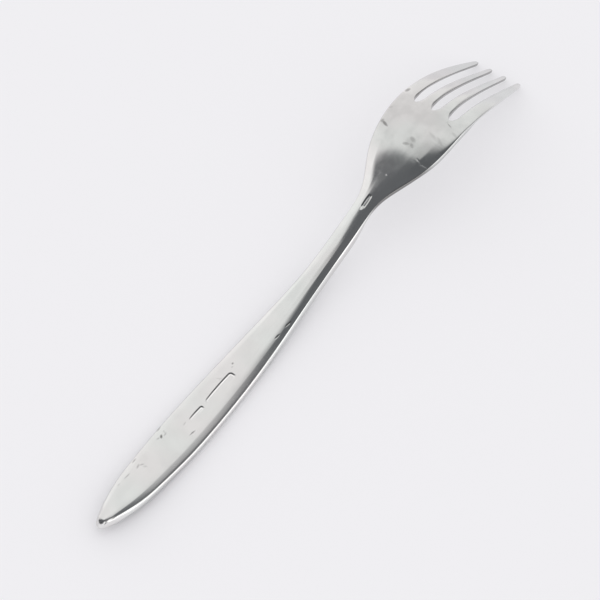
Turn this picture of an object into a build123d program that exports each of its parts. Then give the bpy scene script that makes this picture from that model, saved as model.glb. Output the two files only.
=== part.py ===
from build123d import *
from math import cos, radians, tan
import os

# A four-tined table fork lying face down, its back up.
# x runs from the handle's end to the tine tips, y across the fork, z up from the table.
# The origin is on the table, midway along the fork.

# Length of the fork along the table (mm)
fork_length = 195.4

# Lengths from one place of the handle to the next, starting at its end
end_to_nose = 8.4
nose_to_grip = 12.0
grip_to_widest = 17.0
widest_to_rest = 12.0
rest_to_shank = 23.0

# Lengths from the neck to the tips; the tapering shank takes up what is left of the fork's length
neck_to_stem = 8.0
stem_to_flare = 10.5
flare_to_shoulder = 11.0
shoulder_to_palm = 10.5
palm_to_crest = 5.0
crest_to_tines = 7.2
tines_to_bend = 14.8
bend_to_tip = 22.0

# Half widths of the outline at those places, the neck being straight up to the stem,
# and how much further out than the palm the outer tines start
nose_half_width = 4.45
grip_half_width = 5.95
widest_half_width = 6.7
shank_half_width = 5.4
neck_half_width = 3.5
flare_half_width = 4.1
shoulder_half_width = 9.4
palm_half_width = 11.6
tines_swell = 0.3

# Heights of the middle of the back above the table
end_height = 5.7
shank_height = 3.9
neck_height = 8.75
shoulder_height = 18.6
crest_height = 22.1
bend_height = 15.0

# Thickness of the metal along the middle
end_thickness = 2.8
grip_thickness = 3.0
neck_thickness = 3.9
crest_thickness = 2.2
tip_thickness = 1.2

# Slope of the tines at their tips, in degrees below the table's plane
tip_slope = 29.0

# How far the back rounds off, and the front hollows, from the middle to the outline
end_crown = 0.4
grip_crown = 0.65
neck_crown = 1.15
palm_crown = 1.35
palm_hollow = 1.1

# Slots between the tines, and the tips with the flat that is left across each of them
slot_width = 2.6
slot_pitch = 6.07
tip_pitch = 5.12
tip_width = 1.85
tip_flat = 0.15

# The formed bar is this much larger than the outline cut from it, and has this many stretches
trim = 1.2
stretches = 24

# Places along the fork, from its end to the shank and from its tips back to the neck
end_x = -fork_length / 2
nose_x = end_x + end_to_nose
grip_x = nose_x + nose_to_grip
widest_x = grip_x + grip_to_widest
rest_x = widest_x + widest_to_rest
shank_x = rest_x + rest_to_shank
tip_x = fork_length / 2
bend_x = tip_x - bend_to_tip
tines_x = bend_x - tines_to_bend
crest_x = tines_x - crest_to_tines
palm_x = crest_x - palm_to_crest
shoulder_x = palm_x - shoulder_to_palm
flare_x = shoulder_x - flare_to_shoulder
stem_x = flare_x - stem_to_flare
neck_x = stem_x - neck_to_stem

# The outline is widest where the tines start
tines_half_width = palm_half_width + tines_swell

# The outline's left side, as far as the tines
left_places = (
    (nose_x, nose_half_width),
    (grip_x, grip_half_width),
    (widest_x, widest_half_width),
    (shank_x, shank_half_width),
    (neck_x, neck_half_width),
    (stem_x, neck_half_width),
    (flare_x, flare_half_width),
    (shoulder_x, shoulder_half_width),
    (palm_x, palm_half_width),
    (tines_x, tines_half_width),
)

# The tips: their underside touches the table
tip_height = tip_thickness / cos(radians(tip_slope))
tip_half_width = 1.5 * tip_pitch + tip_width / 2
tip_round = (tip_width - tip_flat) / 2
tip_gap = tip_pitch - tip_width


def eased(x, *places):
    """The value at x, easing from each (place, value) to the next."""
    value = places[0][1]
    for (start, before), (stop, after) in zip(places, places[1:]):
        share = min(max((x - start) / (stop - start), 0), 1)
        value += (after - before) * share * share * (3 - 2 * share)
    return value


# The line along the middle of the back
with BuildLine(Plane.XZ) as back:
    spine = Spline(
        (end_x - trim, end_height),
        (rest_x, grip_thickness),
        (shank_x, shank_height),
        (neck_x, neck_height),
        (shoulder_x, shoulder_height),
        (crest_x, crest_height),
        (bend_x, bend_height),
        (tip_x + trim, tip_height - trim * tan(radians(tip_slope))),
    )

# The bar of metal, formed to the fork's bends and crowned, before its outline is cut
with BuildPart() as bar:
    for i in range(stretches + 1):
        middle = spine @ (i / stretches)
        x = middle.X
        half_width = eased(x, *left_places)
        thickness = eased(
            x,
            (end_x, end_thickness),
            (rest_x, grip_thickness),
            (neck_x, neck_thickness),
            (crest_x, crest_thickness),
            (tip_x, tip_thickness),
        )
        crown = eased(
            x,
            (end_x, end_crown),
            (widest_x, grip_crown),
            (neck_x, neck_crown),
            (crest_x, palm_crown),
            (tip_x, 0),
        )
        hollow = eased(x, (neck_x, 0), (crest_x, palm_hollow), (tip_x, 0))
        side = half_width + trim
        back_drop = crown * (side / half_width) ** 2
        front_drop = hollow * (side / half_width) ** 2
        with BuildSketch(Plane(middle, x_dir=(0, 1, 0), z_dir=spine % (i / stretches))):
            with BuildLine():
                crown_line = Bezier((-side, -back_drop), (0, back_drop), (side, -back_drop))
                hollow_line = Bezier(
                    (side, -thickness - front_drop),
                    (0, -thickness + front_drop),
                    (-side, -thickness - front_drop),
                )
                Line(crown_line @ 1, hollow_line @ 0)
                Line(hollow_line @ 1, crown_line @ 0)
            make_face()
    loft()

# The whole fork, cut from the formed bar along its outline, with the slots open
with BuildPart() as blank:
    add(bar.part)
    with BuildSketch(Plane.XY) as plan:
        with BuildLine():
            Spline(
                (widest_x, -widest_half_width),
                (grip_x, -grip_half_width),
                (nose_x, -nose_half_width),
                (end_x, 0),
                (nose_x, nose_half_width),
                (grip_x, grip_half_width),
                (widest_x, widest_half_width),
                tangents=((-1, 0), (1, 0)),
            )
            for way in (-1, 1):
                Spline(
                    (widest_x, way * widest_half_width),
                    (shank_x, way * shank_half_width),
                    (neck_x, way * neck_half_width),
                    tangents=((1, 0), (1, 0)),
                )
                Line((neck_x, way * neck_half_width), (stem_x, way * neck_half_width))
                Spline(
                    (stem_x, way * neck_half_width),
                    (flare_x, way * flare_half_width),
                    (shoulder_x, way * shoulder_half_width),
                    (palm_x, way * palm_half_width),
                    (tines_x, way * tines_half_width),
                    tangents=((1, 0), (1, 0)),
                )
                TangentArc(
                    (tines_x, way * tines_half_width), (tip_x, way * tip_half_width), tangent=(1, 0)
                )
            Line((tip_x, -tip_half_width), (tip_x, tip_half_width))
        make_face()
        for row in (-1, 0, 1):
            slot_y = row * slot_pitch
            gap_y = row * tip_pitch
            with BuildLine() as slot:
                Polyline(
                    (tines_x, slot_y - slot_width / 2),
                    (tip_x, gap_y - tip_gap / 2),
                    (tip_x, gap_y + tip_gap / 2),
                    (tines_x, slot_y + slot_width / 2),
                    close=True,
                )
            make_face(slot.edges(), mode=Mode.SUBTRACT)
            with Locations((tines_x, slot_y)):
                Circle(slot_width / 2, mode=Mode.SUBTRACT)
        fillet(plan.vertices().group_by(Axis.X)[-1], tip_round)
    extrude(amount=crest_height + trim, both=True, mode=Mode.INTERSECT)

# The planes where one piece of the fork meets the next, face to face
neck_cut = Plane.YZ.offset(neck_x)
palm_cut = Plane.YZ.offset(flare_x)
tine_cut = Plane.YZ.offset(tines_x)

# The handle, from its end to the start of the neck
with BuildPart() as handle:
    add(blank.part)
    split(bisect_by=neck_cut, keep=Keep.BOTTOM)

# The neck, up to where the shoulders flare out
with BuildPart() as neck:
    add(blank.part)
    split(bisect_by=neck_cut, keep=Keep.TOP)
    split(bisect_by=palm_cut, keep=Keep.BOTTOM)

# The palm, from the shoulders to the round ends of the slots
with BuildPart() as palm:
    add(blank.part)
    split(bisect_by=palm_cut, keep=Keep.TOP)
    split(bisect_by=tine_cut, keep=Keep.BOTTOM)

# All that lies beyond the round ends of the slots: four tines, apart from each other
with BuildPart() as comb:
    add(blank.part)
    split(bisect_by=tine_cut, keep=Keep.TOP)

handle.part.label = "handle"
neck.part.label = "neck"
palm.part.label = "palm"
os.makedirs("parts", exist_ok=True)
export_step(handle.part, "parts/handle.step")
export_step(neck.part, "parts/neck.step")
export_step(palm.part, "parts/palm.step")

# The tines are numbered across the fork, from -y to +y
for number, solid in enumerate(comb.solids().sort_by(Axis.Y), start=1):
    with BuildPart() as tine:
        add(solid)
    tine.part.label = f"tine_{number}"
    export_step(tine.part, f"parts/tine_{number}.step")

box = blank.part.bounding_box()
print("fork", [round(size, 2) for size in box.size], "lowest", round(box.min.Z, 3), "mm")
print("volume", round(blank.part.volume), "cubic mm")
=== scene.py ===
# %% [markdown]
# # A table fork, lying on its face
#
# The real fork is one piece of stainless steel: a flat blank is cut out, rolled thin at the head,
# slotted, bent and polished. The frame holds its true size as seven solids that meet face to face.
# Here one skin of metal is laid over all seven, because the real fork shows no seams.
#
# All sizes are in metres, in the frame's own place: x runs from the handle's end to the tips,
# y across the fork and z up from the table. The fork lies with its back up.

# %% Load the frame
import bpy
import bmesh
import math
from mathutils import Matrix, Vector
from mathutils.bvhtree import BVHTree


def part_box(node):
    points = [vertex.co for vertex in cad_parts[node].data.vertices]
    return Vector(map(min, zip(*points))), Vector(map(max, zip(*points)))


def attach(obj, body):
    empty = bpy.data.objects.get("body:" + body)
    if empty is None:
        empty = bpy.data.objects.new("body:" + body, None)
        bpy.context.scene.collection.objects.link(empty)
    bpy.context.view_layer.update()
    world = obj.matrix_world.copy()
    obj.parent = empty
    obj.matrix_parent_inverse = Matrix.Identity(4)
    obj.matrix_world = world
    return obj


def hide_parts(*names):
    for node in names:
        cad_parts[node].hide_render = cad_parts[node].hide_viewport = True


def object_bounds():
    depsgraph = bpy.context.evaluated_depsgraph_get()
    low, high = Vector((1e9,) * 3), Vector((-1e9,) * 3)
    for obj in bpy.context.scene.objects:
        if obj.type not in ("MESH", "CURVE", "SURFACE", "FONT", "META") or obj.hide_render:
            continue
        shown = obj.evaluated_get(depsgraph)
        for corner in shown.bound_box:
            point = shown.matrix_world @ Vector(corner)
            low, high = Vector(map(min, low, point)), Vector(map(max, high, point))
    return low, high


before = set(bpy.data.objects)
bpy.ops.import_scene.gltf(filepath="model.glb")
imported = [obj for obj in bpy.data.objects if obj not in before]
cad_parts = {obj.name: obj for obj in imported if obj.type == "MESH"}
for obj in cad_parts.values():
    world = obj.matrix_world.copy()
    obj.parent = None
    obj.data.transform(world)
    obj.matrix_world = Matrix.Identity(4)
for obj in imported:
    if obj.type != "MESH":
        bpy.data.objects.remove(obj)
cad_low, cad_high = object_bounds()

MM = 0.001
print("frame:", sorted(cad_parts), "size in mm", [round(side / MM, 2) for side in cad_high - cad_low])

# %% [markdown]
# ## The camera
#
# A product picture of a small thing is taken from well above with a long lens, so that the shape
# stays true. The camera could be moved by eye until the picture fits. Here its angles were worked
# out instead, from the slots and tips, which lie square to the fork's length, so it is placed by
# four numbers: its turn, its height, its distance and the width of its view.

# %% Camera
view_turn = math.radians(54.04)
view_height = math.radians(56.2)
view_distance = 486.1 * MM
view_width = math.radians(20)
aim = Vector((-7.23, 0.55, 0)) * MM

far_side = Vector((math.sin(view_turn), math.cos(view_turn), 0))
sight = far_side * math.cos(view_height) - Vector((0, 0, math.sin(view_height)))

bpy.ops.object.camera_add(location=aim - sight * view_distance)
camera = bpy.context.object
camera.rotation_euler = sight.to_track_quat("-Z", "Y").to_euler()
camera.data.angle = view_width
bpy.context.scene.camera = camera
print("camera at", [round(place, 3) for place in camera.location], "lens", round(camera.data.lens, 1), "mm")

# %% [markdown]
# ## Measuring the frame
#
# A modeller would lay rulers against the solid. In code, a ray does that: shot in from the side it
# finds the outline. The heights along a side are tried a third of a millimetre apart, and the ray
# that meets metal first gives the edge.

# %% Rays against the solids
corners, faces = [], []
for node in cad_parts.values():
    first = len(corners)
    corners += [corner.co.copy() for corner in node.data.vertices]
    faces += [[first + index for index in face.vertices] for face in node.data.polygons]
solids = BVHTree.FromPolygons(corners, faces)
outside = 0.15
ray_gap = 0.3 * MM
ray_count = 80
ray_heights = [row * ray_gap for row in range(ray_count)]


def half_width_at(x):
    """Half the fork's width at this place along it."""
    met = [solids.ray_cast((x, outside, z), (0, -1, 0))[0] for z in ray_heights]
    return max(place.y for place in met if place)


def end_at(y):
    """Where the handle's end begins, this far from the middle line."""
    met = [solids.ray_cast((-outside, y, z), (1, 0, 0))[0] for z in ray_heights]
    return min(place.x for place in met if place)


def eased(x, *stops):
    """The value at x, easing from each (place, value) to the next."""
    value = stops[0][1]
    for (start, before), (stop, after) in zip(stops, stops[1:]):
        share = min(max((x - start) / (stop - start), 0), 1)
        value += (after - before) * share * share * (3 - 2 * share)
    return value


palm_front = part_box("palm")[1].x
neck_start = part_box("neck")[0].x
print("half widths in mm", [round(half_width_at(x * MM) / MM, 2) for x in range(-90, 100, 20)])

# %% [markdown]
# ## Selecting by place
#
# By hand, one drags a box around some corners and then moves them. In code, a small helper selects
# every corner for which a rule says yes. Edges and faces whose corners are all selected follow.

# %% Helpers for editing


def pick(rule):
    """Selects the corners in edit mode for which the rule holds, and says how many they are."""
    bpy.ops.mesh.select_mode(type="VERT")
    bpy.ops.mesh.select_all(action="DESELECT")
    shape = bmesh.from_edit_mesh(bpy.context.object.data)
    count = 0
    for corner in shape.verts:
        if not corner.hide and rule(corner.co):
            corner.select = True
            count += 1
    shape.select_flush(True)
    bmesh.update_edit_mesh(bpy.context.object.data)
    return count


def pick_edges(rule):
    """Selects the edges in edit mode for which the rule holds, and says how many they are."""
    bpy.ops.mesh.select_mode(type="EDGE")
    bpy.ops.mesh.select_all(action="DESELECT")
    shape = bmesh.from_edit_mesh(bpy.context.object.data)
    chosen = [edge for edge in shape.edges if rule(edge)]
    for edge in chosen:
        edge.select = True
    shape.select_flush_mode()
    bmesh.update_edit_mesh(bpy.context.object.data)
    return len(chosen)


def slide(x=0.0, y=0.0, z=0.0):
    """Moves what is selected."""
    bpy.ops.transform.translate(value=(x, y, z))


def stretch(y=1.0, z=1.0, about=(0, 0, 0)):
    """Scales what is selected across the fork and upwards, about a point."""
    bpy.ops.transform.resize(value=(1, y, z), center_override=about)


print("helpers ready: pick, pick_edges, slide and stretch")

# %% Picking a row, one place or a span of a row
snap = 0.1 * MM
fine_snap = 0.01 * MM


def pick_row(x):
    """Selects the corners of one row across the fork."""
    return pick(lambda place: abs(place.x - x) < snap)


def pick_at(x, y):
    """Selects what lies at one place in plan."""
    return pick(lambda place: abs(place.x - x) < snap and abs(place.y - y) < fine_snap)


def pick_span(x, near, far, way=1):
    """Selects the part of a row between two distances from the middle line, on one side of it."""
    return pick(lambda place: abs(place.x - x) < snap and near - snap < way * place.y < far + snap)


print("corners count as in place within", round(snap / MM, 2), "mm")

# %% [markdown]
# ## The blank in plan
#
# The real blank is a flat cut-out, and so is this one at first: a grid over half of the fork, from
# behind the handle's nose to the ends of the slots. Its columns are set where the slots will need
# them, and close beside the slots, because tines grown out of the grid then line up with it and can
# be rounded at their edges. Each row is scaled to the fork's own width there, as measured on the
# frame, a little inside the outline, because the real side wall leans outwards to its foot.

# %% Rows and columns of the blank
rows = 40
row_start = cad_low.x + 7 * MM
row_end = palm_front - 1.2 * MM
row_step = (row_end - row_start) / rows
row_places = [row_start + row * row_step for row in range(rows + 1)]

nose_lean = 0.7 * MM
handle_lean = 0.2 * MM
head_lean = 0.15 * MM
clear = 0.04 * MM
lean_stops = (
    (cad_low.x + 4 * MM, nose_lean),
    (cad_low.x + 22 * MM, handle_lean),
    (neck_start, handle_lean),
    (palm_front, head_lean),
    (cad_high.x, clear),
)


def top_half_width(x):
    """Half the width of the back at x, whose edge lies inside the foot of the leaning wall."""
    return half_width_at(x) - eased(x, *lean_stops)


slot_width = 2.6 * MM
slot_pitch = 6.07 * MM
slot_edge = 0.5 * MM
outer_edge = 1.6 * MM
front_half = top_half_width(row_end)
inner_slot = slot_width / 2 + clear
inner_tine = slot_pitch - slot_width / 2 - clear
outer_slot = slot_pitch + slot_width / 2 + clear
places_across = [
    0,
    inner_slot,
    inner_slot + slot_edge,
    inner_tine - slot_edge,
    inner_tine,
    slot_pitch,
    outer_slot,
    outer_slot + slot_edge,
    front_half - outer_edge,
    front_half,
]
shares = [place / front_half for place in places_across]
columns = len(shares) - 1
print("columns at", [round(place / MM, 2) for place in places_across], "mm at the slots")

# %% The grid over half the fork
above = 40 * MM
bpy.ops.object.select_all(action="DESELECT")
bpy.ops.mesh.primitive_grid_add(x_subdivisions=rows, y_subdivisions=columns, size=1)
fork = bpy.context.object
fork.name = "fork"
bpy.ops.object.mode_set(mode="EDIT")
bpy.ops.transform.resize(value=(row_end - row_start, 1, 1))
slide((row_start + row_end) / 2, 0.5, above)
for column, share in enumerate(shares):
    even = column / columns
    pick(lambda place: abs(place.y - even) < snap)
    slide(y=share - even)
for x in row_places:
    pick_row(x)
    stretch(y=top_half_width(x))
print("grid of", rows, "by", columns, "cells")

# %% [markdown]
# ## The nose
#
# The handle ends in a round nose. Squeezing more and more straight rows into it would crowd the
# mesh, so the end row is extruded three times and bowed to the outline, and the rows behind it bow
# a little less each, as the rings of a spoon's bowl would.

# %% Extruding and bowing the nose
# Rows of the nose: where their ends lie, and their bow, from 0 for straight to 1 for the outline
nose_rows = [(row_start - 2.2 * MM, 0.25), (row_start - 4.0 * MM, 0.62), (cad_low.x + 1.9 * MM, 1.0)]


def bowed_by(share, rim, bow):
    """How far a corner of a nose row lies ahead of the ends of its row."""
    return bow * (end_at(share * rim) - end_at(rim))


x_before = row_start
pick_row(row_start)
for x, bow in nose_rows:
    bpy.ops.mesh.extrude_region_move(TRANSFORM_OT_translate={"value": (x - x_before, 0, 0)})
    stretch(y=top_half_width(x) / top_half_width(x_before))
    x_before = x
for x, bow in reversed(nose_rows):
    rim = top_half_width(x)
    for share in shares:
        pick_at(x, share * rim)
        slide(x=bowed_by(share, rim, bow))
print("nose rows", len(nose_rows))

# %% [markdown]
# ## The tines
#
# Four tines stand in front of the palm, with round-ended slots between them. On the half grid they
# are one inner and one outer tine. Each grows from three edges of the front row: extrude, move to
# the next place, scale to the width there. The last three places draw each tip in to a round end.

# %% Growing the tines
tip_pitch = 5.12 * MM
tip_width = 1.85 * MM
tip_gap = tip_pitch - tip_width
tine_shares = [0.045, 0.14, 0.25, 0.37, 0.49, 0.6, 0.71, 0.82, 0.91, 0.962, 0.987, 0.998]
tip_factors = {0.962: 0.95, 0.987: 0.74, 0.998: 0.34}
tine_length = cad_high.x - row_end


def between(first, last, share):
    """The value a share of the way from the first to the last."""
    return first + share * (last - first)


def inner_sides(share):
    """The two sides of the inner tine, from the slots' ends at 0 to the tips at 1."""
    near = between(slot_width / 2, tip_gap / 2, share) + clear
    far = between(slot_pitch - slot_width / 2, tip_pitch - tip_gap / 2, share) - clear
    return near, far


def outer_sides(share):
    """The two sides of the outer tine, measured only as far as its tip starts to round."""
    near = between(slot_pitch + slot_width / 2, tip_pitch + tip_gap / 2, share) + clear
    far = top_half_width(row_end + min(share, min(tip_factors)) * tine_length)
    return near, far


# Rows of the tines: their place, both sides, and their width against that at the slots' ends
tine_rows = []
for sides in (inner_sides, outer_sides):
    near, far = sides(0)
    start_width = far - near
    x = row_end
    pick_span(row_end, near, far)
    for share in tine_shares:
        x_next = row_end + share * tine_length
        bpy.ops.mesh.extrude_region_move(TRANSFORM_OT_translate={"value": (x_next - x, 0, 0)})
        new_near, new_far = sides(share)
        middle = (new_near + new_far) / 2
        half = (new_far - new_near) / 2 * tip_factors.get(share, 1)
        slide(y=middle - (near + far) / 2)
        stretch(y=2 * half / (far - near), about=(0, middle, 0))
        near, far = middle - half, middle + half
        x = x_next
        tine_rows.append((x, near, far, (far - near) / start_width))
print("rows of an inner and an outer tine:", len(tine_rows))

# %% Rounding the ends of the slots
slot_round = 2.6 * MM
for y in (0, slot_pitch):
    pick_at(row_end, y)
    slide(x=-slot_round)
bpy.ops.object.mode_set(mode="OBJECT")
print("half blank:", len(fork.data.vertices), "corners")

# %% [markdown]
# ## Laying the blank on the solids
#
# A press would now bend the flat blank. Here the Shrinkwrap modifier lets it down on to the back of
# the solids, straight along z, so every corner gets its true height at once. The modifier takes one
# target, so a joined copy of the nodes stands in as the former, and is thrown away afterwards.

# %% A former, and the first drop
bpy.ops.object.select_all(action="DESELECT")
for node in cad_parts.values():
    node.select_set(True)
bpy.context.view_layer.objects.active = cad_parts["handle"]
bpy.ops.object.duplicate()
bpy.ops.object.join()
former = bpy.context.object
former.name = "former"


def apply_modifier(kind, **settings):
    """Gives the fork a modifier, sets it up and applies it."""
    bpy.ops.object.modifier_add(type=kind)
    modifier = fork.modifiers[-1]
    for name, value in settings.items():
        setattr(modifier, name, value)
    bpy.ops.object.modifier_apply(modifier=modifier.name)


def lay_on(upwards, group=""):
    """Moves the fork's corners along z until they meet the former."""
    apply_modifier(
        "SHRINKWRAP",
        target=former,
        wrap_method="PROJECT",
        use_project_z=True,
        use_positive_direction=upwards,
        use_negative_direction=not upwards,
        vertex_group=group,
    )


bpy.ops.object.select_all(action="DESELECT")
fork.select_set(True)
bpy.context.view_layer.objects.active = fork
lay_on(upwards=False)
missed = sum(1 for corner in fork.data.vertices if corner.co.z > cad_high.z + MM)
print("laid on the back, corners that met nothing:", missed)

# %% [markdown]
# ## The rolled rim
#
# Polishing rounds the back of a real handle off towards its edges much more than in its middle:
# that is where the dark band along the edge comes from. A wide bevel would give an even round, so
# the five outer columns of the handle are let down instead, each a little more than the one inside
# it. They go down most at the nose and not at all at the neck, where the whole back is round. The
# tines are rounded in the same way on the sides of the slots.

# %% Rolling the rim of the handle
rim_columns = 5
rim_roll = 0.5 * MM
nose_roll = 0.68 * MM
roll_power = 4
roll_stops = (
    (row_start, nose_roll),
    (row_start + 14 * MM, rim_roll),
    (neck_start - 14 * MM, rim_roll),
    (neck_start + 2 * MM, 0),
)
bpy.ops.object.mode_set(mode="EDIT")
for x in row_places:
    roll = eased(x, *roll_stops)
    rim = top_half_width(x)
    for share in shares[-rim_columns:]:
        if roll > 0:
            pick_at(x, share * rim)
            slide(z=-roll * share ** roll_power)
print("rim let down by", round(rim_roll / MM, 2), "mm along the handle")

# %% Rolling the nose
nose_edge = 1.1 * MM
side_share = 0.97
bowed_snap = 0.05 * MM


def is_nose_rim(place):
    """Whether a corner lies on the edge of the nose."""
    if place.x >= row_start - MM:
        return False
    at_side = abs(place.y) > side_share * top_half_width(place.x)
    return at_side or place.x - end_at(abs(place.y)) < nose_edge


for x, bow in nose_rows[:2]:
    rim = top_half_width(x)
    for share in shares[-rim_columns:-1]:
        bowed = x + bowed_by(share, rim, bow)
        pick(
            lambda place: abs(place.x - bowed) < bowed_snap
            and abs(place.y - share * rim) < fine_snap
            and not is_nose_rim(place)
        )
        slide(z=-nose_roll * share ** roll_power)
nose_corners = pick(is_nose_rim)
slide(z=-nose_roll)
print("corners on the nose's edge, let down by", round(nose_roll / MM, 2), "mm:", nose_corners)

# %% Rolling the sides of the slots
tine_roll = 0.36 * MM
for x, near, far, size in tine_rows:
    for side in (near, far):
        if side < top_half_width(x) - MM:
            pick_at(x, side)
            slide(z=-tine_roll * math.sqrt(size))
for side in (inner_slot, inner_tine, outer_slot):
    pick_at(row_end, side)
    slide(z=-tine_roll / 2)
bpy.ops.object.mode_set(mode="OBJECT")
print("sides of the slots let down by up to", round(tine_roll / MM, 2), "mm")

# %% [markdown]
# ## The root of the head
#
# Where the neck runs out into the head, the back of the real fork is flat in the middle and falls
# off late, towards its sides, and it swells a little before it bends over. The frame's back is an
# even arch. This could be sculpted with a brush. Lifting the columns by a formula, from that arch
# to a flatter one with a low hump on top, keeps both sides alike.

# %% Flattening the root of the head
root_stops = ((27 * MM, 0), (33 * MM, 1), (39 * MM, 1), (48.5 * MM, 0))
root_arch = 1.25 * MM
swell = 0.28 * MM
swell_middle = 42.5 * MM
swell_reach = 5 * MM
least_lift = 0.001 * MM
bpy.ops.object.mode_set(mode="EDIT")
for x in row_places:
    flatness = eased(x, *root_stops)
    rim = top_half_width(x)
    for share in shares:
        lift = flatness * root_arch * (share ** 2 - share ** 4)
        lift += swell * math.exp(-((x - swell_middle) / swell_reach) ** 2) * (1 - share ** 2) ** 2
        if lift > least_lift:
            pick_at(x, share * rim)
            slide(z=lift)
bpy.ops.object.mode_set(mode="OBJECT")
print("root of the head swells by", round(swell / MM, 2), "mm")

# %% [markdown]
# ## Both halves, and the thickness
#
# The Mirror modifier makes the other half. Extruding the whole sheet downwards then gives the front
# face and the side walls in one step, and letting the front up on to the solids from below gives it
# the hollow of the head and the right thickness. A Solidify modifier would be quicker, but makes
# one thickness all over, and a fork is thick at the neck and thin at the tips.

# %% Mirror and extrude
below = 80 * MM
apply_modifier("MIRROR", use_axis=(False, True, False), merge_threshold=fine_snap)
bpy.ops.object.mode_set(mode="EDIT")
bpy.ops.mesh.select_all(action="SELECT")
bpy.ops.mesh.normals_make_consistent(inside=False)
bpy.ops.mesh.extrude_region_move(TRANSFORM_OT_translate={"value": (0, 0, -below)})
bpy.ops.object.vertex_group_assign_new()
fork.vertex_groups.active.name = "front"
bpy.ops.object.mode_set(mode="OBJECT")
lay_on(upwards=True, group="front")
bpy.data.objects.remove(former)
missed = sum(1 for corner in fork.data.vertices if corner.co.z < cad_low.z - MM)
print("closed blank:", len(fork.data.polygons), "faces, corners that met nothing:", missed)

# %% [markdown]
# ## The foot of the walls
#
# With the back hidden, only the front's corners can be picked. Its outermost ones move out to the
# frame's outline, row by row, and the nose is scaled about its own middle. The neck and the root of
# the head are rounder below, so there the whole front is drawn in and the walls tuck under. The
# tines are drawn in too, because they are ground slimmer at the front than at the back.

# %% Leaning the walls of the handle and the head
foot_clear = 0.03 * MM
neck_tuck = 1.3 * MM
tuck_stops = ((14 * MM, 0), (24 * MM, neck_tuck), (37 * MM, neck_tuck), (45 * MM, 0))
nose_middle = cad_low.x + 5 * MM
nose_foot = 1.28
bpy.ops.object.mode_set(mode="EDIT")
bpy.ops.mesh.select_all(action="DESELECT")
bpy.ops.object.vertex_group_select()
bpy.ops.mesh.hide(unselected=True)
for x in row_places:
    foot = half_width_at(x) - foot_clear
    top = top_half_width(x)
    pick(lambda place: abs(place.x - x) < snap and abs(place.y) > side_share * top)
    stretch(y=foot / top)
    tuck = eased(x, *tuck_stops)
    if tuck > 0:
        pick_row(x)
        stretch(y=1 - tuck / foot)
nose_corners = pick(is_nose_rim)
bpy.ops.transform.resize(value=(nose_foot, nose_foot, 1), center_override=(nose_middle, 0, 0))
print("corners at the foot of the nose:", nose_corners)

# %% Slimming the front of the tines
tine_front = 0.71
slim_reach = 6 * MM
for x, near, far, size in tine_rows:
    slimmer = eased(x, (row_end, 1), (row_end + slim_reach, tine_front))
    for way in (-1, 1):
        pick_span(x, near, far, way)
        stretch(y=slimmer, about=(0, way * (near + far) / 2, 0))
bpy.ops.mesh.reveal(select=False)
bpy.ops.object.mode_set(mode="OBJECT")
print("front of the tines as a share of their back:", tine_front)

# %% [markdown]
# ## Rounded edges and a smooth skin
#
# No edge of a polished fork is sharp. The two rims, where a wall meets the back and the front, get
# a narrow bevel, which also holds them crisp when the Subdivision Surface modifier smooths the
# cage. Wall faces are told from the others by their normals, which lie nearly flat. The edges of
# the tines are finer, so they get a smaller bevel weight, and the Bevel modifier follows the weights.

# %% Weighing the edges
tine_weight = 0.42
slot_margin = 0.5 * MM
tines_begin = row_end - slot_round - slot_margin
wall_normal = 0.62
bpy.ops.object.mode_set(mode="EDIT")
bpy.ops.mesh.select_all(action="SELECT")
bpy.ops.mesh.normals_make_consistent(inside=False)


def is_rim(edge):
    """Whether the edge parts a wall from the back or the front."""
    walls = [abs(face.normal.z) < wall_normal for face in edge.link_faces]
    return sorted(walls) == [False, True]


def on_tines(edge):
    """Whether the edge lies among the tines."""
    return all(end.co.x > tines_begin for end in edge.verts)


body_rims = pick_edges(lambda edge: is_rim(edge) and not on_tines(edge))
bpy.ops.transform.edge_bevelweight(value=1)
tine_rims = pick_edges(lambda edge: is_rim(edge) and on_tines(edge))
bpy.ops.transform.edge_bevelweight(value=tine_weight)
bpy.ops.object.mode_set(mode="OBJECT")
print("rim edges of the body and the tines:", body_rims, tine_rims)

# %% Bevel and subdivide
edge_round = 0.5 * MM
edge_profile = 0.35
apply_modifier(
    "BEVEL",
    limit_method="WEIGHT",
    width=edge_round,
    segments=2,
    profile=edge_profile,
    use_clamp_overlap=False,
)
apply_modifier("SUBSURF", levels=2, render_levels=2)
bpy.ops.object.shade_smooth()
print("smooth skin:", len(fork.data.polygons), "faces")

# %% [markdown]
# ## Struck marks and dents
#
# The back of the handle carries two shallow struck panels, and the neck a small oval one. The punch
# stood askew on the handle, so those two are deepest along their left side and their upper end and
# fade out to the right. Use has added dents, scratches and dark specks. Painted shade darkens the
# walls of the panels, the slots and the walls under the right side of the head's root, and the rims
# are painted lighter as a highlight, in part as rubbing brightens them.
#
# A bump in the material would be cheaper, but looks flat from the side. Pushing corners in by the
# Displace modifier keeps the marks real shapes. That needs small cells, so the skin is cut finer
# just there: first along the fork, then across.

# %% Where the marks are
# Panels in mm: place along and across, half length, half width, depth, shares of the depth that
# are left on the right side and on the floor
panels = [
    (-45.3, -0.3, 5.9, 1.6, 1.0, 0.05, 0.1),
    (-55.4, 0.15, 2.9, 1.0, 1.0, 0.1, 0.1),
    (24.3, -0.2, 2.2, 0.8, 0.8, 0.8, 1.0),
]
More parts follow.
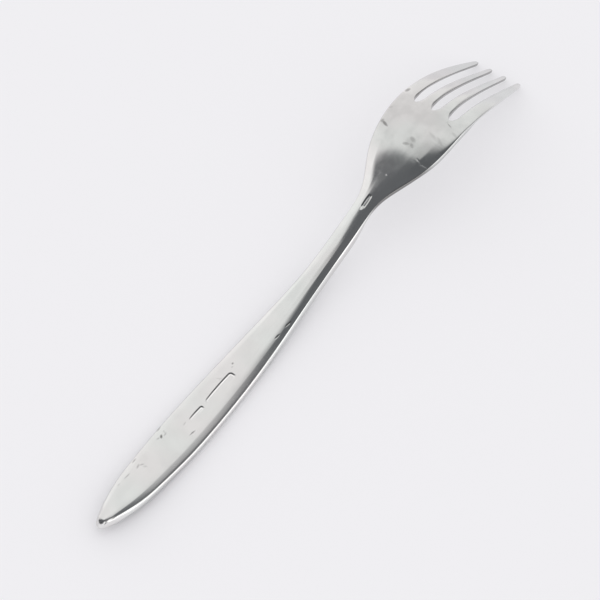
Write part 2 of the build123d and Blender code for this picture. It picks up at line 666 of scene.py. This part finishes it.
# Dents in mm: place along and across, half length, half width, degrees of turn, depth, and soil,
# which is below nought for a light scuff
dents = [
    (-66.6, 3.6, 0.75, 0.4, 40, 0.5, 0.9),
    (-65.4, 3.2, 0.8, 0.3, 10, 0.2, 0.3),
    (-64.9, 4.0, 0.6, 0.25, 60, 0.15, 0.25),
    (-67.6, 3.9, 0.6, 0.3, -20, 0.1, 0.3),
    (-65.0, 5.85, 1.1, 0.28, 3, 0.1, 0.5),
    (-77.6, 2.7, 0.9, 0.35, 20, 0.15, 0.32),
    (-76.6, 2.2, 0.9, 0.3, -35, 0.12, 0.28),
    (-76.5, 1.1, 0.7, 0.3, -60, 0.1, 0.2),
    (-76.7, 4.8, 1.0, 0.25, 6, 0.1, 0.45),
    (-81.6, 3.1, 1.2, 0.22, -3, 0.15, 0.36),
    (-85.0, 3.2, 0.6, 0.25, 0, 0.1, 0.2),
    (-60.8, -2.5, 1.3, 0.22, -9, 0.3, 0.45),
    (-37.0, 2.0, 0.4, 0.35, 0, 0.4, 0.6),
    (-38.0, 1.4, 0.4, 0.25, 0, 0.1, 0.25),
    (-43.0, 2.1, 1.1, 0.25, -60, 0.1, 0.15),
    (-59.8, 1.0, 0.8, 0.25, 4, 0.1, 0.2),
    (-18.0, -3.1, 1.5, 0.25, -5, 0.4, 0.9),
    (-22.9, -3.0, 1.2, 0.25, -6, 0.3, 0.8),
    (46.6, 9.0, 1.7, 0.5, 65, 0.5, 0.74),
    (47.2, 10.3, 0.7, 0.6, 0, 0.2, 0.5),
    (52.3, 10.8, 0.7, 0.35, -40, 0.1, 0.25),
    (61.2, 10.8, 1.3, 0.7, -5, 0.3, 0.58),
    (44.7, -1.2, 1.9, 1.6, 30, 0.05, 0.16),
    (45.7, -1.3, 1.3, 0.8, 70, 0.06, 0.42),
    (43.7, -0.5, 1.3, 0.62, 110, 0.06, 0.45),
    (44.0, -2.1, 1.1, 0.6, 60, 0.06, 0.4),
    (56.0, -7.2, 1.1, 0.26, 71, 0.2, 0.42),
    (56.6, -6.1, 0.5, 0.22, -20, 0.1, 0.2),
    (49.8, -5.6, 0.6, 2.2, -20, 0.05, 0.17),
    (49.6, -8.0, 0.6, 2.0, -30, 0.05, 0.19),
    (54.2, -10.2, 0.6, 1.2, -15, 0.05, 0.2),
    (41.2, -6.3, 1.1, 0.22, 62, 0.1, -0.25),
    (40.8, -8.3, 1.5, 0.22, -78, 0.1, -0.22),
    (33.4, -0.7, 0.3, 0.25, 0, 0.1, -0.3),
]
print("panels:", len(panels), "dents and scuffs:", len(dents))

# %% Finer cells under the marks
# Room left around a mark, along and across, in mm
panel_room = (0.6, 0.5)
dent_room = (1.0, 0.4)
fine_boxes = [(x, y, long + panel_room[0], wide + panel_room[1]) for x, y, long, wide, *_ in panels]
for x, y, long, wide, turn, *_ in dents:
    way = math.radians(turn)
    reach_x = math.hypot(long * math.cos(way), wide * math.sin(way))
    reach_y = math.hypot(long * math.sin(way), wide * math.cos(way))
    fine_boxes.append((x, y, reach_x + dent_room[0], reach_y + dent_room[1]))
back_normal = 0.3


def in_box(edge, box):
    """Whether an edge of the back lies inside a box around a mark."""
    x, y, long, wide = box
    return all(
        end.normal.z > back_normal and abs(end.co.x / MM - x) < long and abs(end.co.y / MM - y) < wide
        for end in edge.verts
    )


def runs_along(edge):
    """Whether an edge runs along the fork more than across it."""
    way = edge.verts[1].co - edge.verts[0].co
    return abs(way.x) > abs(way.y)


along_cell = 0.3 * MM
along_cuts = 5
across_cell = 0.2 * MM
across_cuts = 2
bpy.ops.object.mode_set(mode="EDIT")
for box in fine_boxes:
    pick_edges(lambda edge: in_box(edge, box) and runs_along(edge) and edge.calc_length() > along_cell)
    bpy.ops.mesh.subdivide(number_cuts=along_cuts)
    pick_edges(lambda edge: in_box(edge, box) and not runs_along(edge) and edge.calc_length() > across_cell)
    bpy.ops.mesh.subdivide(number_cuts=across_cuts)
bpy.ops.object.mode_set(mode="OBJECT")
print("skin with finer cells:", len(fork.data.polygons), "faces")

# %% The shape of a panel and of a dent
wall = 0.45
lip = 0.36
# How much lighter the lip behind a panel's wall is painted, as a highlight
lip_highlight_gain = 1.6
panel_bow = 0.15
panel_round = 0.7
# How dark the painted shade along a panel's wall is
panel_wall_shade = 0.6


def ramp(value, start, stop):
    """From 0 to 1 between two values, without corners."""
    share = min(max((value - start) / (stop - start), 0), 1)
    return share * share * (3 - 2 * share)


def panel_depth(x, y, panel):
    """The depth of a struck panel, the painted shade along its wall and the painted highlight on the lip
    behind that.
    """
    middle_x, middle_y, long, wide, depth, right, ground = panel
    along, across = x - middle_x, y - middle_y
    wide *= 1 - panel_bow * (along / long) ** 2
    corner = panel_round * wide
    out_x, out_y = abs(along) - long + corner, abs(across) - wide + corner
    inwards = corner - math.hypot(max(out_x, 0), max(out_y, 0)) - min(max(out_x, out_y), 0)
    if inwards < 0:
        return 0, 0, 0
    # The punch leaned to the left and to the upper end
    side = right + (1 - right) * ramp(0.8 * across / wide + 0.45 * along / long, -0.4, 0.6)
    floor_share = ground + (1 - ground) * math.exp(-max(inwards - wall, 0) / lip)
    # Painted shade along the panel's wall and a painted highlight on the lip behind it, most on the left
    # side
    soil_and_shade = panel_wall_shade * side ** 2 * max(1 - abs(inwards - wall / 2) / (wall / 2), 0)
    lip_highlight = lip_highlight_gain * side * math.exp(-((inwards - wall - lip / 2) / (lip / 2)) ** 2)
    return depth * ramp(inwards, 0, wall) * floor_share * side, soil_and_shade, lip_highlight


def dent_share(x, y, dent):
    """How deep inside a dent a place lies, 1 in its middle: an oval bowl, turned by some degrees."""
    middle_x, middle_y, long, wide, turn, *_ = dent
    way = math.radians(turn)
    along = (x - middle_x) * math.cos(way) + (y - middle_y) * math.sin(way)
    across = (y - middle_y) * math.cos(way) - (x - middle_x) * math.sin(way)
    return max(1 - (along / long) ** 2 - (across / wide) ** 2, 0)


panel_middles = [panel_depth(*panel[:2], panel)[0] for panel in panels]
print("depth left in the middle of the panels:", [round(depth, 2) for depth in panel_middles])

# %% Wear and painted light at each place
# Where on the slope of the rims their painted highlight is brightest, and how far it spreads
rim_slope = 0.5
rim_spread = 0.3
# The painted highlight on the left rims, as a share of that on the right
left_highlight_share = 0.15
# How dark the painted shade is on the walls of the slots and under the right side of the head's root
slot_shade = 0.62
root_shade = 0.78
# Between these parts of the normal, across the fork, the painted highlight on the tines' left comes in
tine_steep = (0.1, 0.5)
# Between these parts of the normal, upwards, the painted shade of the slots and of the root goes away
slot_steep = (0.45, 0.75)
root_steep = (0.55, 0.8)
# Places along the fork, in mm, between which the painted shade at the root comes and goes
root_rise = (20, 26)
root_fall = (38, 45)


def rim_polish_and_highlight(corner):
    """How much lighter the rims are painted, as a highlight and in part as rubbed steel: most on the right
    side and along the tines' left.
    """
    if corner.co.x > row_end and corner.normal.y > 0:
        return ramp(corner.normal.y, *tine_steep)
    steep = math.exp(-((corner.normal.z - rim_slope) / rim_spread) ** 2)
    return steep if corner.co.y < 0 else left_highlight_share * steep


def wear_and_painted_light_at(corner):
    """How deep a corner of the skin is pushed in, how much soil and painted shade it gets, and how much
    painted highlight and rubbing.
    """
    x, y = corner.co.x / MM, corner.co.y / MM
    depth = soil_and_shade = 0
    polish_and_highlight = rim_polish_and_highlight(corner)
    if corner.normal.z > back_normal:
        depth, soil_and_shade, lip_highlight = max(panel_depth(x, y, panel) for panel in panels)
        polish_and_highlight = max(polish_and_highlight, lip_highlight)
        for dent in dents:
            dent_depth, dent_soil = dent[-2:]
            share = dent_share(x, y, dent)
            depth = max(depth, dent_depth * share ** 2)
            soil_and_shade = max(soil_and_shade, dent_soil * share ** 0.7, key=abs)
    # Painted shade on the steep walls in the slots
    if tines_begin < corner.co.x and abs(corner.co.y) < outer_slot + slot_edge:
        soil_and_shade = max(soil_and_shade, slot_shade * (1 - ramp(corner.normal.z, *slot_steep)))
    # Painted shade on the steep walls under the right side of the head's root, which loses the rims'
    # painted highlight there
    if y < 0:
        at_root = ramp(x, *root_rise) * (1 - ramp(x, *root_fall))
        soil_and_shade = max(soil_and_shade, root_shade * at_root * (1 - ramp(corner.normal.z, *root_steep)), key=abs)
        polish_and_highlight *= 1 - at_root
    return depth, soil_and_shade, polish_and_highlight


depths, soils_and_shades, polish_and_highlights = zip(*[wear_and_painted_light_at(corner) for corner in fork.data.vertices])
print("soiled corners:", sum(1 for soil_and_shade in soils_and_shades if soil_and_shade > 0))

# %% Pushing the marks in
mark_depth = 0.26 * MM
struck = fork.vertex_groups.new(name="struck")
pushed = [index for index, depth in enumerate(depths) if depth > 0]
for index in pushed:
    struck.add([index], depths[index], "REPLACE")
apply_modifier(
    "DISPLACE", direction="NORMAL", mid_level=0, strength=-mark_depth, vertex_group=struck.name
)
fork.vertex_groups.clear()
# The soil with the painted shade, and the rubbing with the painted highlight, are kept on the corners
for name, values in (("soil_and_shade", soils_and_shades), ("rubbed_and_highlight", polish_and_highlights)):
    layer = fork.data.attributes.new(name, "FLOAT", "POINT")
    layer.data.foreach_set("value", values)
print("corners pushed in:", len(pushed), "by up to", round(mark_depth / MM, 2), "mm")

# %% [markdown]
# ## A way to write shader sums
#
# A material could be wired up by hand in the node editor. Written as sums in Python it can be read
# line by line. A small class wraps one output of a node, and plus, minus, times and divide add a
# Math node each.

# %% Fields


class Field:
    """An output of a node, with which sums can be written."""

    def __init__(self, tree, socket=None):
        self.tree = tree
        self.socket = socket

    def node(self, kind, settings=None, inputs=None, output=0):
        """Adds a node, its settings first and then its sockets, and gives one of its outputs."""
        made = self.tree.nodes.new(kind)
        for name, value in (settings or {}).items():
            setattr(made, name, value)
        for name, value in (inputs or {}).items():
            if isinstance(value, Field):
                self.tree.links.new(value.socket, made.inputs[name])
            else:
                made.inputs[name].default_value = value
        return Field(self.tree, made.outputs[output])

    def feed(self, socket):
        """Wires the field to a socket of a shader."""
        self.tree.links.new(self.socket, socket)

    def sum(self, operation, *terms):
        """A Math node over these terms."""
        return self.node("ShaderNodeMath", {"operation": operation}, dict(enumerate(terms)))

    def __add__(self, other):
        return self.sum("ADD", self, other)

    def __radd__(self, other):
        return self.sum("ADD", other, self)

    def __sub__(self, other):
        return self.sum("SUBTRACT", self, other)

    def __rsub__(self, other):
        return self.sum("SUBTRACT", other, self)

    def __mul__(self, other):
        return self.sum("MULTIPLY", self, other)

    def __rmul__(self, other):
        return self.sum("MULTIPLY", other, self)

    def __truediv__(self, other):
        return self.sum("DIVIDE", self, other)

    def __abs__(self):
        return self.sum("ABSOLUTE", self)


print("fields ready")

# %% Helpers for materials


def step(value, start, stop):
    """From 0 to 1 while the value goes from start to stop, without corners."""
    return value.node(
        "ShaderNodeMapRange",
        {"interpolation_type": "SMOOTHSTEP"},
        {"Value": value, "From Min": start, "From Max": stop},
    )


def blend(share, first, second):
    """A colour between two others."""
    return share.node("ShaderNodeMix", {"data_type": "RGBA"}, {0: share, 6: first, 7: second}, output=2)


def scaled(colour, value):
    """A colour times a number."""
    return value.node("ShaderNodeVectorMath", {"operation": "SCALE"}, {0: colour, "Scale": value})


def towards(direction, way):
    """How far a direction points this way, from -1 to 1, or how far a place lies this way."""
    return direction.node(
        "ShaderNodeVectorMath", {"operation": "DOT_PRODUCT"}, {0: direction, 1: way}, output="Value"
    )


def noise(where, size, detail=2.0):
    """Random lumps of about this size."""
    return where.node("ShaderNodeTexNoise", None, {"Vector": where, "Scale": 1 / size, "Detail": detail})


print("helpers ready: step, blend, scaled, towards and noise")

# %% [markdown]
# ## The steel
#
# The real fork is polished stainless steel, worn to a soft satin by years of washing: it mirrors
# the room, but blurred and a little uneven, and most blurred on the handle. The blur is a low
# roughness. Broad, faint clouds change the colour and the roughness, a shallow waviness bends the
# mirror image as hand polishing does, and hair scratches cross it in three ways. Soil darkens the
# dents and painted shade darkens the walls of the struck panels, the slots and the right side of
# the head's root. Scuffs are pale and dull. The head, and most of all its palm, is painted darker
# as shade, and the rims are painted lighter as a highlight, in part as rubbing brightens them,
# most on the right side. Painted pictures could do all that, but patterns worked out from the
# place on the fork stay sharp at any size.

# %% Patterns in the steel
steel = bpy.data.materials.new("satin_steel")
steel.use_nodes = True
finish = steel.node_tree.nodes["Principled BSDF"]
steel_place = Field(steel.node_tree).node("ShaderNodeTexCoord", output="Object")

clouds = noise(steel_place, 9 * MM, 3.0)
tints = noise(steel_place, 16 * MM, 1.0)
grain = noise(steel_place, 0.35 * MM, 2.0)
wear = step(noise(steel_place, 12 * MM, 4.0), 0.45, 0.7)
patches = step(noise(steel_place, 5 * MM, 4.0), 0.35, 0.65) - 0.5


def hairs(turn, length, gap, share):
    """Fine straight scratches: the middle lines of noise that is drawn out one way."""
    laid = steel_place.node(
        "ShaderNodeMapping",
        {"vector_type": "TEXTURE"},
        {"Vector": steel_place, "Rotation": (0, 0, math.radians(turn)), "Scale": (length, gap, gap)},
    )
    lines = 1 - step(abs(noise(laid, 1.0, 1.0) - 0.5), 0.004, 0.02)
    return lines * step(noise(steel_place, 3 * length / 4, 1.0), 1 - share, 1 - share + 0.1)


scratches = (
    hairs(8, 14 * MM, 0.7 * MM, 0.5)
    + hairs(-35, 9 * MM, 0.8 * MM, 0.45)
    + hairs(62, 6 * MM, 0.9 * MM, 0.42)
)
print("patterns:", len(steel.node_tree.nodes), "nodes")

# %% Colour of the steel
warm_steel = (0.722, 0.706, 0.699, 1)
green_steel = (0.692, 0.702, 0.688, 1)
# The dark colour of the soil in the dents and of the painted shade on the panels, slots and root
dark_soil_and_shade = (0.12, 0.117, 0.113, 1)
pale_scuff = (0.75, 0.75, 0.74, 1)

marked = steel_place.node("ShaderNodeAttribute", {"attribute_name": "soil_and_shade"}, output="Fac")
soil_and_shade_share = marked.sum("MAXIMUM", marked, 0.0)
scuff_share = marked.sum("MAXIMUM", 0 - marked, 0.0)
rim_polish_and_highlight_share = steel_place.node("ShaderNodeAttribute", {"attribute_name": "rubbed_and_highlight"}, output="Fac")
lengthways = towards(steel_place, (1, 0, 0))
head = step(lengthways, 34 * MM, 44 * MM)
palm = head * (1 - step(lengthways, 56 * MM, 66 * MM))

# Clouds and grain vary the tone, the head and most of all its palm are painted darker as shade,
# the palm is patchier, and the rims are painted lighter as a highlight
clean = blend(step(tints, 0.35, 0.65), green_steel, warm_steel)
shade = 0.94 + 0.1 * clouds + 0.04 * grain - 0.02 * head - 0.1 * palm + (0.035 + 0.06 * palm) * patches
shaded = scaled(clean, shade * (1 + 0.22 * rim_polish_and_highlight_share))
# Soil in the dents and painted shade on the panels, slots and root darken the colour, and scuffs make it
# pale
dirt_and_painted_light = blend(scuff_share, blend(soil_and_shade_share, shaded, dark_soil_and_shade), pale_scuff)
dirt_and_painted_light.feed(finish.inputs["Base Color"])
(1 - scuff_share).feed(finish.inputs["Metallic"])
print("steel from", green_steel[:3], "to", warm_steel[:3])

# %% Blur and waviness of the steel
grip = 1 - step(lengthways, -45 * MM, -15 * MM)
roughness = 0.1 + 0.08 * grip + 0.05 * clouds + 0.04 * wear + 0.04 * scratches
roughness.feed(finish.inputs["Roughness"])

# Heights in mm
wave_height = 0.02
grain_height = 0.0006
scratch_height = 0.0008
surface = wave_height * noise(steel_place, 8 * MM, 1.0) + grain_height * grain - scratch_height * scratches
relief = {"Height": surface, "Distance": MM, "Strength": 1.0}
bump = surface.node("ShaderNodeBump", None, relief, output="Normal")
bump.feed(finish.inputs["Normal"])
fork.data.materials.clear()
fork.data.materials.append(steel)
print("steel:", len(steel.node_tree.nodes), "nodes")

# %% [markdown]
# ## The floor
#
# A sheet of pale paper, with a breath of lilac in it, takes the fork's soft shadow. Paper has no
# thickness to see, so a plane is enough. In the real picture the shadow is dark along the handle,
# which lies on the paper, and filled in by light from all round under the raised head. So there,
# for the camera and in the steel, a part of the paper's own colour is given off as light.

# %% Floor
floor_colour = (0.871, 0.863, 0.888, 1)
bpy.ops.mesh.primitive_plane_add(size=6, location=(0, 0, cad_low.z))
floor = bpy.context.object
floor.name = "floor"
paper = bpy.data.materials.new("pale_paper")
paper.use_nodes = True
paper_shader = paper.node_tree.nodes["Principled BSDF"]
paper_shader.inputs["Base Color"].default_value = floor_colour
paper_shader.inputs["Roughness"].default_value = 1.0
paper_shader.inputs["Specular IOR Level"].default_value = 0.0

head_fill = 0.5
fill_start = -40 * MM
fill_stop = 20 * MM
paper_place = Field(paper.node_tree).node("ShaderNodeTexCoord", output="Object")
shadow_fill = head_fill * step(towards(paper_place, (1, 0, 0)), fill_start, fill_stop)
lit_paper = paper_place.node("ShaderNodeEmission", None, {"Color": floor_colour})
seen = paper_place.node("ShaderNodeLightPath", output="Is Camera Ray")
for ray in ("Is Glossy Ray", "Is Transmission Ray"):
    seen = seen.sum("MAXIMUM", seen, seen.node("ShaderNodeLightPath", output=ray))
dull_paper = Field(paper.node_tree, paper_shader.outputs[0])
mixed = seen.node("ShaderNodeMixShader", None, {0: shadow_fill * seen, 1: dull_paper, 2: lit_paper})
mixed.feed(paper.node_tree.nodes["Material Output"].inputs["Surface"])
floor.data.materials.append(paper)
print("floor at", round(floor.location.z / MM, 3), "mm")

# %% [markdown]
# ## The room
#
# Polished steel has hardly a colour of its own: it shows the room. The real picture was taken in
# front of a white wall that reaches up over the fork, in a room that is dark behind the camera. A
# window on the left and a low bright strip on the right give the light edges. Lamps and cards could
# be set up around the fork, as in a studio, but a world that is a sum of directions is simpler to
# change. It holds all of that for mirrored rays. For the light that falls on the paper it is a soft
# white, brighter towards the horizon and the left, so that the shadow is soft and closes up where
# the fork touches.

# %% Places in the room
world = bpy.data.worlds.new("studio")
bpy.context.scene.world = world
world.use_nodes = True
direction = Field(world.node_tree).node("ShaderNodeTexCoord", output="Generated")
height = towards(direction, (0, 0, 1))
least_square = 0.0004
flat_square = 1 - height * height
level = flat_square.sum("SQRT", flat_square.sum("MAXIMUM", flat_square, least_square))


def way_at(turn):
    """The level direction at this many degrees from the fork's length."""
    return (math.cos(math.radians(turn)), math.sin(math.radians(turn)), 0)


left_end = step(towards(direction, way_at(10)) / (level + 0.1), -0.07, 0.07)
near_floor = 1 - step(height, 0.2, 0.5)
right_end = step(towards(direction, way_at(60)) / (level + 0.1) - 0.3 * near_floor, -0.25, 0.4)
far_wall = left_end * right_end
strip = step(towards(direction, way_at(-85)) / level, 0.64, 0.87) * (1 - step(height, 0.25, 0.42))
window_way = Vector((-0.2, 0.85, 0.5)).normalized()
window = step(towards(direction, window_way), 0.86, 0.96)
print("places in the room:", len(world.node_tree.nodes), "nodes")

# %% Light of the room
dark_room = (0.14, 0.145, 0.155, 1)
dark_back = (0.085, 0.088, 0.093, 1)
dark_right = (0.2, 0.202, 0.205, 1)
window_light = (1.1, 1.1, 1.1, 1)
strip_light = (1.5, 1.5, 1.5, 1)
white = (1, 1, 1)

# The wall glows a little on its left, half way up, and falls off overhead
half_way_up = step(height, 0.02, 0.2) * (1 - step(height, 0.3, 0.65))
left_glow = step(towards(direction, way_at(75)), 0.6, 0.95) * half_way_up
wall_light = 0.98 + 0.16 * left_glow - 0.28 * step(height, 0.94, 0.998)
dark_low = blend(step(towards(direction, way_at(-40)), 0.2, 0.7), dark_back, dark_right)
mirrored = blend(step(height, 0.3, 0.8), dark_low, dark_room)
mirrored = blend(far_wall, mirrored, scaled(white, wall_light))
mirrored = blend(window, mirrored, window_light)
mirrored = blend(strip, mirrored, strip_light)
even_light = scaled(white, 0.85 + 0.45 * (1 - height) * (1 + 0.5 * towards(direction, way_at(126))))
glossy = direction.node("ShaderNodeLightPath", output="Is Glossy Ray")
in_camera = direction.node("ShaderNodeLightPath", output="Is Camera Ray")
shown = blend(in_camera, blend(glossy, even_light, mirrored), floor_colour)
shown.feed(world.node_tree.nodes["Background"].inputs["Color"])
print("room:", len(world.node_tree.nodes), "nodes")

# %% [markdown]
# ## Handing over
#
# The skin rides on the one body of the frame and takes the place of all seven solids.

# %% Hand over
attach(fork, "root")
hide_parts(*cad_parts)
bpy.context.scene.view_settings.view_transform = "Standard"
